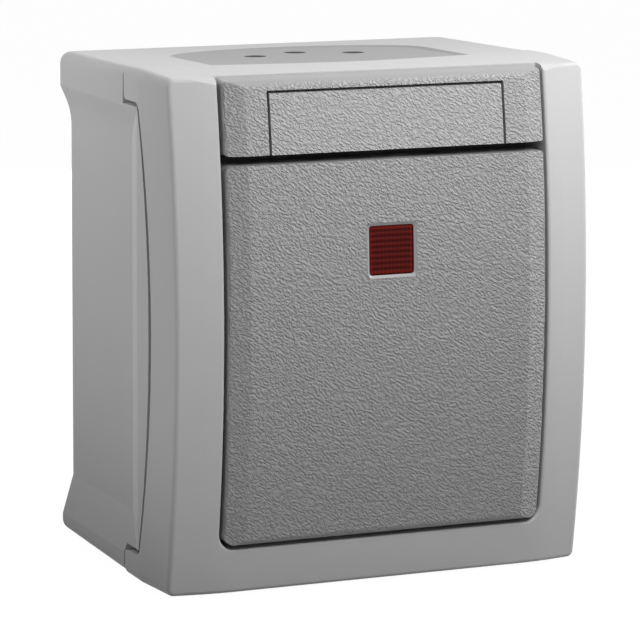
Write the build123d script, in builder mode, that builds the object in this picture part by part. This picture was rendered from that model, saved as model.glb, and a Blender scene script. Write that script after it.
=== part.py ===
# Splash-proof surface-mounted rocker switch with an indicator window.
# Millimetres. X points right seen from the front, Y into the wall, Z up.
# The origin is the centre of the wall face; a depth is a distance forwards (-Y) from the wall.
import os
from math import asin, atan, cos, degrees, radians, sin, tan

from build123d import *

os.makedirs("parts", exist_ok=True)

# The whole switch
width = 66.0
height = 75.0
face_depth = 50.5  # wall to rocker face at mid height
front_bow = 3.2  # the front stands out this much more at mid height than at top and bottom
edge_round = 1.4  # rounding along the housing's long edges at the front
wall_round = 1.75  # and at the wall

# Housing box
back_wall = 2.2
box_wall = 2.0
draft_inset = 0.75  # the box is this much smaller on every side at the wall
waist_inset = 1.75  # the side walls are drawn in this much between shoulder and foot
shoulder_height = 5.1
shoulder_slope = 24.0  # degrees, from the shoulder in to the waist
shoulder_blend = 10.0
foot_height = 2.65
foot_slope = 16.5  # degrees, from the waist out to the foot
foot_crease = 0.8
foot_blend = 7.0
waist_rim = 0.7  # the waist ends this far behind the seam
waist_run = 15.7  # degrees, from the waist out to its rim
leave_angle = 2.0  # degrees at which the blends leave the side face
rear_round = 1.2
collar_setback = 10.5  # rocker face to the collar's front edge
collar_wall = 1.6
fixing_inset = 5.5
fixing_drop = 5.9
fixing_bore = 4.5
fixing_collar = 8.0
fixing_collar_height = 2.0

# Seam between box and frame
side_seam_setback = 15.6  # rocker face to the side seam beside the corner lugs
side_seam_bow = 4.6
lug_setback = 21.9
top_seam_bow = 7.0
upper_lug = 4.8
lower_lug = 4.0
seam_gap = 0.7
seam_round = 0.9

# Front frame
frame_wall = 1.7
front_wall = 2.2
skirt_gap = 0.3
side_border = 7.4
bottom_border = 7.0
lip_setback = 0.85  # the opening's lip lies this far behind the rocker face
edge_setback = 2.2  # and the outer edge this far
border_blend = 30.0
front_draft = 2.0
front_round = 0.7
brow_round = 1.9  # rounding from the front over to the top
lip_round = 0.35
opening_round = 2.4
rim_wall = 1.6
notch_setback = 6.4  # rocker face to where the opening starts to cut the top wall
flange_thick = 2.0
gasket_thick = 1.0
gasket_width = 1.6

# Label bar and label panel
bar_height = 10.8
bar_drop = 0.5  # the bar's top lies this far below the frame's top
bar_slope = 0.5  # and falls this much more to the front
bar_round = 1.6
bar_end_round = 0.6
bar_gap = 0.4
bar_rear_gap = 0.12
bar_shell = 1.8
panel_margin = 6.9  # bar on either side of the panel
panel_height = 8.6
panel_thick = 1.4
panel_gap = 0.4
panel_floor_gap = 0.05

# Rocker and lens
rocker_gap_side = 0.5
rocker_gap_low = 0.6
rocker_gap_top = 1.35
rocker_swing = 5.0  # degrees from one switching position to the other
skirt_clear = 0.4  # rocker skirt to seal when the upper end is pressed in
rocker_wall = 1.8
rocker_plate = 2.2
bevel_width = 3.1  # the left and right edges of rocker and bar slope back
bevel_angle = 15.0
bevel_edge = 0.6
rocker_corner = 1.0  # rounding of the upper corners
rocker_edge = 0.7  # rounding of the top edge
rocker_low_edge = 1.2  # and of the bottom edge
lens_width = 7.0
lens_height = 7.1
lens_place = 0.263  # above the rocker's middle, as a share of its height
lens_gap = 0.06
lens_recess = 0.25
lens_rim = 0.35
lens_flange = 1.0
lens_ribs = 8
lens_rib_depth = 0.25
spigot_wall = 1.6
spigot_length = 4.0

# Pivot, actuator and plunger
pivot_setback = 11.5  # rocker face to pivot axis
trunnion_radius = 1.6
trunnion_gap = 0.05
actuator_width = 10.8
actuator_height = 6.8
actuator_front = 7.5  # length in front of the pivot
barrel_radius = 2.7
barrel_length = 9.0
plunger_radius = 1.4
plunger_tip = 1.1
plunger_reach = 18.6  # pivot axis to plunger tip
plunger_gap = 0.06
plunger_tail = 14.0
spring_wire = 0.24
spring_radius = 0.95
spring_turns = 5

# Switch insert
plate_setback = 6.0  # pivot axis to the back of the mounting plate
plate_thick = 1.2
plate_gap = 1.0
plate_lip = 2.0
plate_window_width = 23.0
pillar_inset = 4.3
pillar_radius = 2.8
base_gap = 0.9
base_end_gap = 6.4
base_floor = 4.0
well_width = 12.8
well_over = 3.5  # contact well beyond the contact tips
arm_thick = 2.4
arm_width = 7.0
arm_end = 3.0  # arm material in front of the pivot axis
insert_screw_length = 12.0

# Contacts and terminals
strip_thick = 1.0
strip_width = 5.0
lever_tilt = 6.0
lever_over = 1.5  # lever beyond its contact tips
lever_thick = 0.8
lever_pin = 0.6
lever_pin_gap = 0.06
lever_height = 5.5  # lever axis above the floor of the contact well
lever_clear = 0.06  # lever to plunger tip as the plunger passes the middle
tip_radius = 1.4
tip_thick = 0.8
tip_end = 11.475  # end of the base to the contact tips
tip_gap = 0.05
ear_thick = 0.8
ear_width = 3.0
terminal_inset = 4.5
terminal_end = 9.0
terminal_size = 7.5
terminal_length = 8.5
wire_bore = 3.4
terminal_screw_radius = 1.4
terminal_head = 2.3

# Lamp
lamp_radius = 2.5
lamp_front = 10.5  # in front of the insert's plate face
carrier_radius = 4.0
carrier_length = 5.0
carrier_floor = 1.0
lead_radius = 0.4
lead_length = 3.0
lead_spread = 1.5

# Screws
screw_radius = 1.5
screw_gap = 0.05
head_radius = 2.6
head_height = 1.8
drive_slot = 0.7
frame_screw_drop = 7.0  # below the top of the housing
frame_screw_length = 16.0
boss_radius = 3.0

# Seal behind the rocker
seal_thick = 1.0
seal_lip = 1.5
seal_gap = 0.6

# Cable membrane in the box top
membrane_margin = 12.4
membrane_bulge = 9.5
membrane_rear = 7.4
membrane_thick = 1.3
membrane_sink = 0.25
membrane_ledge = 1.6
membrane_gap = 0.1
pip_radius = 1.7
pip_pitch = 8.0
pip_depth = 15.0
pip_stagger = 3.6
pip_floor = 0.5

# Places that follow from the sizes above
half_width = width / 2
half_height = height / 2
bow_radius = (half_height**2 + front_bow**2) / (2 * front_bow)
bow_centre = bow_radius - face_depth  # the bow's axis lies this far behind the wall
bow_axis = Axis((0, bow_centre, 0), (1, 0, 0))
bow_half_angle = 1.4 * degrees(asin(half_height / bow_radius))
bow_start = Plane(
    origin=(0, bow_centre, 0),
    x_dir=(1, 0, 0),
    z_dir=(0, sin(radians(bow_half_angle)), cos(radians(bow_half_angle))),
)
far = 2 * face_depth  # longer than anything that is cut

collar_front = face_depth - collar_setback
seam_plane = collar_front
side_seam = face_depth - side_seam_setback
lug_depth = face_depth - lug_setback
top_notch = face_depth - notch_setback
seam_top = half_height - upper_lug
seam_low = -half_height + lower_lug
side_draft = atan(draft_inset / seam_plane)

opening_half = half_width - side_border
opening_low = -half_height + bottom_border
bar_top = half_height - bar_drop
bar_low = bar_top - bar_height
rocker_half = opening_half - rocker_gap_side
bar_half = rocker_half
panel_width = 2 * (bar_half - panel_margin)
frame_screw_x = panel_width / 3
frame_screw_z = half_height - frame_screw_drop
rocker_top = bar_low - rocker_gap_top
rocker_low = opening_low + rocker_gap_low
rocker_mid = (rocker_top + rocker_low) / 2
flange_back = collar_front + gasket_thick
flange_front = flange_back + flange_thick
flange_low = bar_low - bar_gap

collar_half_width = half_width - frame_wall - skirt_gap
collar_half_height = half_height - frame_wall - skirt_gap
cavity_half_width = half_width - draft_inset - waist_inset - box_wall
cavity_half_height = collar_half_height - collar_wall
fixing_across = 2 * (cavity_half_width - fixing_inset)
fixing_up = 2 * (cavity_half_height - fixing_drop)
membrane_width = width - 2 * membrane_margin

pivot_depth = face_depth - pivot_setback
pivot_z = rocker_mid
lens_z = pivot_z + lens_place * (rocker_top - rocker_low)
sphere_mid = pivot_depth - (plunger_reach - plunger_tip)
lever_depth = sphere_mid - plunger_tip - lever_clear - lever_thick
lever_z = pivot_z - plunger_reach * tan(radians(rocker_swing / 2))
plate_depth = pivot_depth - plate_setback
plate_front = plate_depth + plate_thick
well_floor = lever_depth - lever_height
base_back = well_floor - base_floor
base_depth = plate_depth - base_back
pillar_x = cavity_half_width - pillar_inset
base_width = 2 * (pillar_x - pillar_radius - base_gap)
base_height = rocker_top - rocker_low - 2 * base_end_gap
plate_width = 2 * (cavity_half_width - plate_gap)
plate_height = base_height + 2 * plate_lip
terminal_x = base_width / 2 - terminal_inset
terminal_z = base_height / 2 - terminal_end
tip_reach = base_height / 2 - tip_end
lever_half = tip_reach + lever_over
well_height = 2 * (tip_reach + well_over)


def from_bow(depth):
    """Sketch height on the bow's start plane for a depth measured at mid height."""
    return -(bow_centre + depth)


def face_at(z):
    """Depth of the rocker face at height z."""
    return (bow_radius**2 - z**2) ** 0.5 - bow_centre


def side_seam_arc(shift):
    """Side view of the bowed seam between the corner lugs."""
    ends, z_mid = side_seam + shift, (seam_top + seam_low) / 2
    return ThreePointArc((-ends, seam_low), (-ends - side_seam_bow, z_mid), (-ends, seam_top))


def top_seam_arc(shift):
    """Plan view of the seam across the top and bottom walls."""
    reach = half_width + 1
    return ThreePointArc((-reach, -lug_depth - shift), (0, -lug_depth - shift - top_seam_bow),
                         (reach, -lug_depth - shift))


# Waist of the right side wall: its rise to shoulder and foot, seen from the wall
wall_half = half_width - draft_inset
waist_half = wall_half - waist_inset
shoulder_z = half_height - draft_inset - shoulder_height
foot_z = -half_height + draft_inset + foot_height
clear_out = 0.08  # how far outside the side face the blends are carried
clear_up = clear_out / tan(radians(leave_angle))
beyond = half_width + 5
with BuildPart() as waist:
    with BuildSketch(Plane.XZ) as waist_rise:
        with BuildLine():
            Polyline((beyond, shoulder_z + clear_up), (wall_half + clear_out, shoulder_z + clear_up),
                     (wall_half, shoulder_z),
                     (waist_half, shoulder_z - waist_inset / tan(radians(shoulder_slope))),
                     (waist_half, foot_z + waist_inset / tan(radians(foot_slope))),
                     (wall_half, foot_z),
                     (wall_half + clear_out, foot_z - clear_up), (beyond, foot_z - clear_up), close=True)
        make_face()
        inner = waist_rise.vertices().filter_by(lambda v: v.X < waist_half + 0.01).sort_by(Axis.Y)
        outer = waist_rise.vertices().filter_by(lambda v: abs(v.X - wall_half) < 0.01).sort_by(Axis.Y)
        fillet(inner[1], shoulder_blend)
        fillet(outer[1], shoulder_blend)
        fillet(inner[0], foot_crease)
        fillet(outer[0], foot_blend)
    extrude(amount=seam_plane, dir=(sin(side_draft), -cos(side_draft), 0))
    # and its rise to the rim behind the seam, seen from above
    rim_depth = side_seam - waist_rim
    rim_x = half_width - draft_inset * (1 - rim_depth / seam_plane)
    lean = tan(radians(waist_run))
    with BuildSketch(Plane.XY.offset(-half_height)):
        with BuildLine():
            outside, inside = 2 * waist_inset, -3 * waist_inset
            Polyline((rim_x + outside, -rim_depth - outside / lean),
                     (rim_x + inside, -rim_depth - inside / lean), (rim_x + inside, far), (2 * beyond, far),
                     (2 * beyond, -rim_depth - outside / lean), close=True)
        make_face()
    extrude(amount=height, mode=Mode.INTERSECT)

# Side walls of the box, which reach forwards to the bowed side seam
with BuildPart() as side_walls:
    with BuildSketch(Plane.XZ) as wall_face:
        RectangleRounded(2 * wall_half, height - 2 * draft_inset, wall_round)
    with BuildSketch(Plane.XZ.offset(seam_plane)) as full_face:
        RectangleRounded(width, height, edge_round)
    loft()
    with BuildSketch(Plane.YZ) as wall_side:
        with BuildLine():
            arc = side_seam_arc(-seam_gap)
            Polyline(arc @ 1, (far, seam_top), (far, seam_low), arc @ 0)
        make_face()
        with Locations((0, (seam_top + seam_low) / 2)):
            Rectangle(3 * far, seam_top - seam_low - 2 * seam_gap, mode=Mode.INTERSECT)
        fillet(wall_side.vertices().sort_by(Axis.X)[:2], seam_round)
    extrude(amount=width, both=True, mode=Mode.INTERSECT)

# Housing box: a drafted shell with a drawn-in waist, its collar, pillars and bosses
with BuildPart() as box:
    loft(sections=[wall_face.sketch, full_face.sketch])
    # the top and bottom walls end at the corner lugs
    with BuildSketch(Plane.XY.offset(-height)):
        with BuildLine():
            arc = top_seam_arc(-seam_gap)
            Polyline(arc @ 1, (half_width + 1, -far), (-half_width - 1, -far), arc @ 0)
        make_face()
    extrude(amount=2 * height, mode=Mode.SUBTRACT)
    add(side_walls.part)
    # collar inside the frame's skirt
    with BuildSketch(Plane.XZ.offset(lug_depth / 2)):
        Rectangle(2 * collar_half_width, 2 * collar_half_height)
    extrude(amount=collar_front - lug_depth / 2)
    add(waist.part, mode=Mode.SUBTRACT)
    add(mirror(waist.part, about=Plane.YZ), mode=Mode.SUBTRACT)
    fillet(box.faces().sort_by(Axis.Y)[-1].edges(), rear_round)
    with BuildSketch(Plane.XZ.offset(back_wall)):
        Rectangle(2 * cavity_half_width, 2 * cavity_half_height)
    extrude(amount=far, mode=Mode.SUBTRACT)
    # pillars for the insert, bosses for the frame screws, collars round the wall fixings
    with BuildSketch(Plane.XZ.offset(back_wall)):
        with Locations((pillar_x, pivot_z), (-pillar_x, pivot_z)):
            Circle(pillar_radius)
    extrude(amount=plate_depth - back_wall)
    with BuildSketch(Plane.XZ.offset(back_wall)):
        with Locations((frame_screw_x, frame_screw_z), (-frame_screw_x, frame_screw_z)):
            Circle(boss_radius)
    extrude(amount=collar_front - back_wall)
    with BuildSketch(Plane.XZ.offset(back_wall)):
        with GridLocations(fixing_across, fixing_up, 2, 2):
            Circle(fixing_collar / 2)
    extrude(amount=fixing_collar_height)
    with BuildSketch(Plane.XZ):
        with GridLocations(fixing_across, fixing_up, 2, 2):
            Circle(fixing_bore / 2)
    extrude(amount=back_wall + fixing_collar_height, mode=Mode.SUBTRACT)
    with BuildSketch(Plane.XZ.offset(plate_depth)):
        with Locations((pillar_x, pivot_z), (-pillar_x, pivot_z)):
            Circle(screw_radius + screw_gap)
    extrude(amount=-insert_screw_length, mode=Mode.SUBTRACT)
    with BuildSketch(Plane.XZ.offset(collar_front)):
        with Locations((frame_screw_x, frame_screw_z), (-frame_screw_x, frame_screw_z)):
            Circle(screw_radius + screw_gap)
    extrude(amount=-frame_screw_length, mode=Mode.SUBTRACT)

# The box top falls towards the wall by its draft; the membrane is laid out on that slope
top_plane = Plane(
    origin=(0, -seam_plane, half_height), x_dir=(1, 0, 0), z_dir=(0, sin(side_draft), cos(side_draft))
)
membrane_half = membrane_width / 2
membrane_shoulder = seam_plane - membrane_rear - membrane_bulge
membrane_front = seam_plane - lug_depth - top_seam_bow + seam_gap


def membrane_outline(inset):
    """Straight sides up to the shoulder, then a half ellipse towards the wall."""
    a, b = membrane_half - inset, membrane_bulge - inset
    EllipticalCenterArc((0, membrane_shoulder), a, b, start_angle=0, arc_size=180)
    Polyline((-a, membrane_shoulder), (-a, membrane_front + inset), (a, membrane_front + inset),
             (a, membrane_shoulder))


# Seat and cable opening for the membrane, sunk into the box top
with BuildPart() as membrane_seat:
    with BuildSketch(top_plane.offset(-membrane_sink - membrane_thick)):
        with BuildLine():
            membrane_outline(0)
        make_face()
    extrude(amount=far)
    with BuildSketch(top_plane):
        with BuildLine():
            membrane_outline(membrane_ledge)
        make_face()
    extrude(amount=-(half_height - cavity_half_height) - 1)
with BuildPart() as back_box:
    add(box.part)
    add(membrane_seat.part, mode=Mode.SUBTRACT)
back_box.part.label = "back_box"
export_step(back_box.part, "parts/back_box.step")

# Rubber cable membrane: a plate in the seat, a plug in the opening, closed pips to pierce
with BuildPart() as cable_membrane:
    with BuildSketch(top_plane.offset(-membrane_sink - membrane_thick)):
        with BuildLine():
            membrane_outline(membrane_gap)
        make_face()
    extrude(amount=membrane_thick)
    with BuildSketch(top_plane.offset(-membrane_sink - membrane_thick)):
        with BuildLine():
            membrane_outline(membrane_ledge + membrane_gap)
        make_face()
    extrude(amount=-membrane_thick)
    with BuildSketch(Plane.XY):
        with BuildLine():
            arc = top_seam_arc(-seam_gap)
            Polyline(arc @ 1, (half_width + 1, -far), (-half_width - 1, -far), arc @ 0)
        make_face()
    extrude(amount=height, mode=Mode.SUBTRACT)
    with BuildSketch(top_plane.offset(-membrane_sink)):
        with Locations((-pip_pitch, seam_plane - pip_depth - pip_stagger), (0, seam_plane - pip_depth),
                       (pip_pitch, seam_plane - pip_depth - pip_stagger)):
            Circle(pip_radius)
    extrude(amount=-2 * membrane_thick + pip_floor, mode=Mode.SUBTRACT)
cable_membrane.part.label = "cable_membrane"
export_step(cable_membrane.part, "parts/cable_membrane.step")

# Front frame: what lies behind its bowed front, then the hollow, the rim and the gasket rib
border_slope = (edge_setback - lip_setback) / side_border
with BuildPart() as frame_front:
    with BuildSketch(bow_start):
        with BuildLine():
            lip = from_bow(face_depth - lip_setback)
            side = lip + border_slope * (beyond - opening_half)
            FilletPolyline((-beyond, side), (-opening_half, lip), (opening_half, lip), (beyond, side),
                           radius=border_blend)
            Polyline((beyond, side), (beyond, from_bow(lug_depth / 2)), (-beyond, from_bow(lug_depth / 2)),
                     (-beyond, side))
        make_face()
    revolve(axis=bow_axis, revolution_arc=2 * bow_half_angle)

skirt_half_width = half_width - frame_wall
skirt_half_height = half_height - frame_wall
with BuildPart() as frame_hollow:
    with BuildSketch(bow_start):
        with Locations((0, from_bow(face_depth - edge_setback - front_wall))):
            Rectangle(2 * skirt_half_width, face_depth, align=(Align.CENTER, Align.MIN))
    revolve(axis=bow_axis, revolution_arc=2 * bow_half_angle)
    with BuildSketch(Plane.XZ):
        Rectangle(2 * skirt_half_width, 2 * skirt_half_height)
    extrude(amount=far, mode=Mode.INTERSECT)

# Solid ring under the front: the rib that presses the gasket and the rim round the opening
with BuildPart() as frame_ribs:
    with BuildSketch(bow_start):
        with Locations((0, from_bow(face_depth - edge_setback - front_wall / 2))):
            Rectangle(2 * collar_half_width, face_depth, align=(Align.CENTER, Align.MIN))
    revolve(axis=bow_axis, revolution_arc=2 * bow_half_angle)
    with BuildSketch(Plane.XZ.offset(flange_back)) as rib:
        Rectangle(2 * collar_half_width, 2 * collar_half_height)
        Rectangle(2 * (collar_half_width - gasket_width), 2 * (collar_half_height - gasket_width),
                  mode=Mode.SUBTRACT)
        rim_half = opening_half + rim_wall
        rim_low = opening_low - rim_wall
        with Locations((0, rim_low)):
            Rectangle(2 * rim_half, collar_half_height - gasket_width / 2 - rim_low,
                      align=(Align.CENTER, Align.MIN))
    extrude(amount=far, mode=Mode.INTERSECT)

with BuildPart() as front_frame:
    with BuildSketch(Plane.XZ.offset(side_seam)) as seam_outline:
        RectangleRounded(width, height, edge_round)
    extrude(amount=-(side_seam - lug_depth), taper=degrees(side_draft))
    extrude(to_extrude=seam_outline.sketch, amount=face_depth + 2 - side_seam, taper=front_draft)
    add(frame_front.part, mode=Mode.INTERSECT)
    outer_edges = front_frame.edges().filter_by(
        lambda e: e.center().Y < -side_seam - 5
        and (abs(e.center().X) > half_width - 2 or abs(e.center().Z) > half_height - 2)
        and abs(e.tangent_at(0.5).Y) < 0.5
    )
    fillet(outer_edges, front_round)
    # the front is rounded over to the top
    with BuildSketch(Plane.YZ) as brow_side:
        with BuildLine():
            slack = 0.02  # the outline stays this far outside the frame
            lip_depth = lip_setback - slack
            crown = half_height + slack - (face_at(half_height) - side_seam) * tan(radians(front_draft))
            front = ThreePointArc((lip_depth - face_at(-half_height - 1), -half_height - 1),
                                  (lip_depth - face_depth, 0), (lip_depth - face_at(half_height), crown))
            Polyline(front @ 1, (-side_seam, half_height + slack), (1, half_height + slack),
                     (1, -half_height - 1), front @ 0)
        make_face()
        fillet(brow_side.vertices().sort_by_distance(front @ 1)[0], brow_round)
    extrude(amount=width, both=True, mode=Mode.INTERSECT)
    add(frame_hollow.part, mode=Mode.SUBTRACT)
    add(frame_ribs.part)
    # the opening, a pocket for the label bar above it, and a notch in the top wall
    with BuildSketch(Plane.XZ.offset(lug_depth / 2)) as opening:
        with Locations((0, opening_low)):
            Rectangle(2 * opening_half, flange_low - opening_low, align=(Align.CENTER, Align.MIN))
        fillet(opening.vertices().group_by(Axis.Y)[0], opening_round)
    extrude(amount=far, mode=Mode.SUBTRACT)
    with BuildSketch(Plane.XZ.offset(flange_back)):
        with Locations((0, flange_low)):
            Rectangle(2 * opening_half, skirt_half_height - flange_low, align=(Align.CENTER, Align.MIN))
    extrude(amount=far, mode=Mode.SUBTRACT)
    with BuildSketch(Plane.XZ.offset(top_notch)):
        with Locations((0, flange_low)):
            Rectangle(2 * opening_half, height, align=(Align.CENTER, Align.MIN))
    extrude(amount=far, mode=Mode.SUBTRACT)
    # cross flange behind the label bar, for the two frame screws
    with BuildSketch(Plane.XZ.offset(flange_back)):
        with Locations((0, flange_low)):
            Rectangle(2 * rim_half, collar_half_height - flange_low, align=(Align.CENTER, Align.MIN))
        with Locations((frame_screw_x, frame_screw_z), (-frame_screw_x, frame_screw_z)):
            Circle(screw_radius + 2 * screw_gap, mode=Mode.SUBTRACT)
    extrude(amount=flange_thick)
    # the bowed rear edge between the corner lugs
    with BuildSketch(Plane.YZ) as seam_side:
        with BuildLine():
            arc = side_seam_arc(0)
            Polyline(arc @ 1, (0, seam_top), (0, seam_low), arc @ 0)
        make_face()
        fillet(seam_side.vertices().sort_by(Axis.X)[:2], seam_round + seam_gap)
    extrude(amount=width, both=True, mode=Mode.SUBTRACT)
    with BuildSketch(Plane.XY):
        with BuildLine():
            arc = top_seam_arc(0)
            Polyline(arc @ 1, (half_width + 1, 0), (-half_width - 1, 0), arc @ 0)
        make_face()
    extrude(amount=height, both=True, mode=Mode.SUBTRACT)
    lug_corners = front_frame.edges().filter_by(
        lambda e: min(abs(e.center().Z - seam_top), abs(e.center().Z - seam_low)) < 0.01
        and abs(e.center().Y + lug_depth) < 1.5 and abs(e.tangent_at(0.5).X) > 0.8
    )
    fillet(lug_corners, seam_round)
    # the opening's edge is rounded towards the front
    lip_level = face_depth - lip_setback - front_bow - flange_thick
    lip_edges = front_frame.edges().filter_by(
        lambda e: e.center().Y < -lip_level and abs(e.center().X) < opening_half + 0.01
        and opening_low - 0.01 < e.center().Z < flange_low
    )
    fillet(lip_edges, lip_round)
front_frame.part.label = "front_frame"
export_step(front_frame.part, "parts/front_frame.step")

# Flat gasket between the box's collar and the frame's rib
with BuildPart() as cover_gasket:
    with BuildSketch(Plane.XZ.offset(collar_front)):
        Rectangle(2 * collar_half_width, 2 * collar_half_height)
        Rectangle(2 * (collar_half_width - gasket_width), 2 * (collar_half_height - gasket_width),
                  mode=Mode.SUBTRACT)
    extrude(amount=gasket_thick)
cover_gasket.part.label = "cover_gasket"
export_step(cover_gasket.part, "parts/cover_gasket.step")

# What the sloped right edge takes off rocker and bar
with BuildPart() as side_bevel:
    with BuildSketch(bow_start) as bevel_plan:
        with BuildLine():
            bevel_fall = tan(radians(bevel_angle))
            bevel_start = rocker_half - bevel_width
            face = from_bow(face_depth)
            edge = face + bevel_width * bevel_fall
            Polyline((bevel_start - 2, face - 2 * bevel_fall), (rocker_half, edge),
                     (rocker_half + 0.1, edge + 4), (beyond, edge + 4), (beyond, face - 4),
                     (bevel_start - 2, face - 4), close=True)
        make_face()
        fillet(bevel_plan.vertices().sort_by_distance((rocker_half, edge, 0))[0], bevel_edge)
    revolve(axis=bow_axis, revolution_arc=2 * bow_half_angle)

# Label bar: a bowed shell over the cross flange, with a recess and two screw windows
with BuildPart() as panel_recess:
    with BuildSketch(Plane.XZ):
        with Locations((0, bar_low - panel_gap)):
            Rectangle(panel_width + 2 * panel_gap, panel_height + 2 * panel_gap,
                      align=(Align.CENTER, Align.MIN))
    extrude(amount=far)
    with BuildSketch(bow_start):
        with Locations((0, from_bow(face_depth - panel_thick - panel_floor_gap))):
            Rectangle(width, face_depth, align=(Align.CENTER, Align.MIN))
    revolve(axis=bow_axis, revolution_arc=2 * bow_half_angle, mode=Mode.SUBTRACT)

with BuildPart() as label_bar:
    bar_brow = bar_top - bar_slope
    bar_tread = skirt_half_height - bar_gap  # the bar's rear lies under the frame's top wall
    with BuildSketch(Plane.YZ) as bar_side:
        with BuildLine():
            bar_middle = (bar_brow + bar_low) / 2
            bow = ThreePointArc((-face_at(bar_low), bar_low), (-face_at(bar_middle), bar_middle),
                                (-face_at(bar_brow), bar_brow))
            back = -top_notch - bar_rear_gap
            Polyline(bow @ 1, (back, bar_top), (back, bar_tread), (-flange_front, bar_tread),
                     (-flange_front, bar_low), bow @ 0)
        make_face()
        fillet(bar_side.vertices().filter_by(lambda v: v.Y > bar_brow - 0.01).sort_by(Axis.X)[0], bar_round)
    extrude(amount=bar_half, both=True)
    bar_ends = label_bar.edges().filter_by(
        lambda e: abs(e.center().X) > bar_half - 0.01
        and (e.center().Y < -flange_front - 2.5 or e.center().Z > bar_brow)
        and abs(e.tangent_at(0.5).X) < 0.5
    )
    fillet(bar_ends, bar_end_round)
    add(side_bevel.part, mode=Mode.SUBTRACT)
    add(mirror(side_bevel.part, about=Plane.YZ), mode=Mode.SUBTRACT)
    # hollow behind the front wall, open towards the flange
    with BuildSketch(Plane.XZ.offset(flange_front)):
        with Locations((0, bar_low + bar_shell)):
            Rectangle(2 * (bar_half - bar_shell), bar_height - bar_drop - 2 * bar_shell,
                      align=(Align.CENTER, Align.MIN))
    extrude(amount=head_height + bar_gap, mode=Mode.SUBTRACT)
    add(panel_recess.part, mode=Mode.SUBTRACT)
    with BuildSketch(Plane.XZ.offset(flange_front)):
        with Locations((frame_screw_x, frame_screw_z), (-frame_screw_x, frame_screw_z)):
            Circle(head_radius + bar_gap)
    extrude(amount=far, mode=Mode.SUBTRACT)
label_bar.part.label = "label_bar"
export_step(label_bar.part, "parts/label_bar.step")

# Label panel, clipped into the bar flush with its face and lower edge
with BuildPart() as label_panel:
    with BuildSketch(bow_start):
        with Locations((0, from_bow(face_depth - panel_thick))):
            Rectangle(panel_width, panel_thick, align=(Align.CENTER, Align.MAX))
            # the sketch's height runs towards the wall, so the plate lies in front of its back face
    revolve(axis=bow_axis, revolution_arc=2 * bow_half_angle)
    with BuildSketch(Plane.XZ):
        with Locations((0, bar_low)):
            Rectangle(panel_width, panel_height, align=(Align.CENTER, Align.MIN))
    extrude(amount=far, mode=Mode.INTERSECT)
label_panel.part.label = "label_panel"
export_step(label_panel.part, "parts/label_panel.step")

# Rocker: bowed with the front and sloped at its sides, hollow behind, with a lens window and a spigot
with BuildPart() as rocker_hollow:
    with BuildSketch(bow_start):
        with Locations((0, from_bow(face_depth - rocker_plate))):
            Rectangle(2 * (rocker_half - rocker_wall), face_depth, align=(Align.CENTER, Align.MIN))
    revolve(axis=bow_axis, revolution_arc=2 * bow_half_angle)
    with BuildSketch(Plane.XZ):
        with Locations((0, rocker_mid)):
            Rectangle(2 * (rocker_half - rocker_wall), rocker_top - rocker_low - 2 * rocker_wall)
        with Locations((0, pivot_z)):
            Rectangle(actuator_width + 2 * spigot_wall, actuator_height + 2 * spigot_wall,
                      mode=Mode.SUBTRACT)
    extrude(amount=far, mode=Mode.INTERSECT)

lens_lean = asin(lens_z / bow_radius)
lens_plane = Plane(
    origin=(0, -face_at(lens_z), lens_z), x_dir=(1, 0, 0), z_dir=(0, -cos(lens_lean), sin(lens_lean))
)
skirt_back = flange_back + (rocker_top - pivot_z) * tan(radians(rocker_swing)) + skirt_clear
with BuildPart() as rocker:
    with BuildSketch(Plane.YZ) as rocker_side:
        with BuildLine():
            bow = ThreePointArc((-face_at(rocker_low), rocker_low), (-face_at(rocker_mid), rocker_mid),
                                (-face_at(rocker_top), rocker_top))
            Polyline(bow @ 1, (-skirt_back, rocker_top), (-skirt_back, rocker_low), bow @ 0)
        make_face()
        low_edge, top_edge = rocker_side.vertices().sort_by(Axis.X)[:2].sort_by(Axis.Y)
        fillet(low_edge, rocker_low_edge)
        fillet(top_edge, rocker_edge)
    extrude(amount=rocker_half, both=True)
    with BuildSketch(Plane.XZ) as rocker_front:
        with Locations((0, rocker_mid)):
            Rectangle(2 * rocker_half, rocker_top - rocker_low)
        fillet(rocker_front.vertices().group_by(Axis.Y)[0], opening_round - rocker_gap_side)
        fillet(rocker_front.vertices().group_by(Axis.Y)[-1], rocker_corner)
    extrude(amount=far, mode=Mode.INTERSECT)
    add(side_bevel.part, mode=Mode.SUBTRACT)
    add(mirror(side_bevel.part, about=Plane.YZ), mode=Mode.SUBTRACT)
    add(rocker_hollow.part, mode=Mode.SUBTRACT)
    # the spigot is cut back to its length and hollowed for the actuator's head
    with BuildSketch(Plane.XZ.offset(skirt_back)):
        with Locations((0, pivot_z)):
            Rectangle(actuator_width + 4 * spigot_wall, actuator_height + 4 * spigot_wall)
    extrude(amount=face_depth - rocker_plate - spigot_length - skirt_back, mode=Mode.SUBTRACT)
    with BuildSketch(Plane.XZ.offset(skirt_back)):
        with Locations((0, pivot_z)):
            Rectangle(actuator_width, actuator_height)
    extrude(amount=pivot_depth + actuator_front - skirt_back, mode=Mode.SUBTRACT)
    # lens window with a sloped rim
    with BuildSketch(lens_plane):
        Rectangle(lens_width + 2 * lens_gap, lens_height + 2 * lens_gap)
    extrude(amount=2 * rocker_plate, both=True, mode=Mode.SUBTRACT)
    with BuildSketch(lens_plane.offset(lens_rim)):
        Rectangle(lens_width + 2 * (lens_gap + 2 * lens_rim), lens_height + 2 * (lens_gap + 2 * lens_rim))
    extrude(amount=-2 * lens_rim, taper=45, mode=Mode.SUBTRACT)
rocker.part.label = "rocker"
export_step(rocker.part, "parts/rocker.step")

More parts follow.
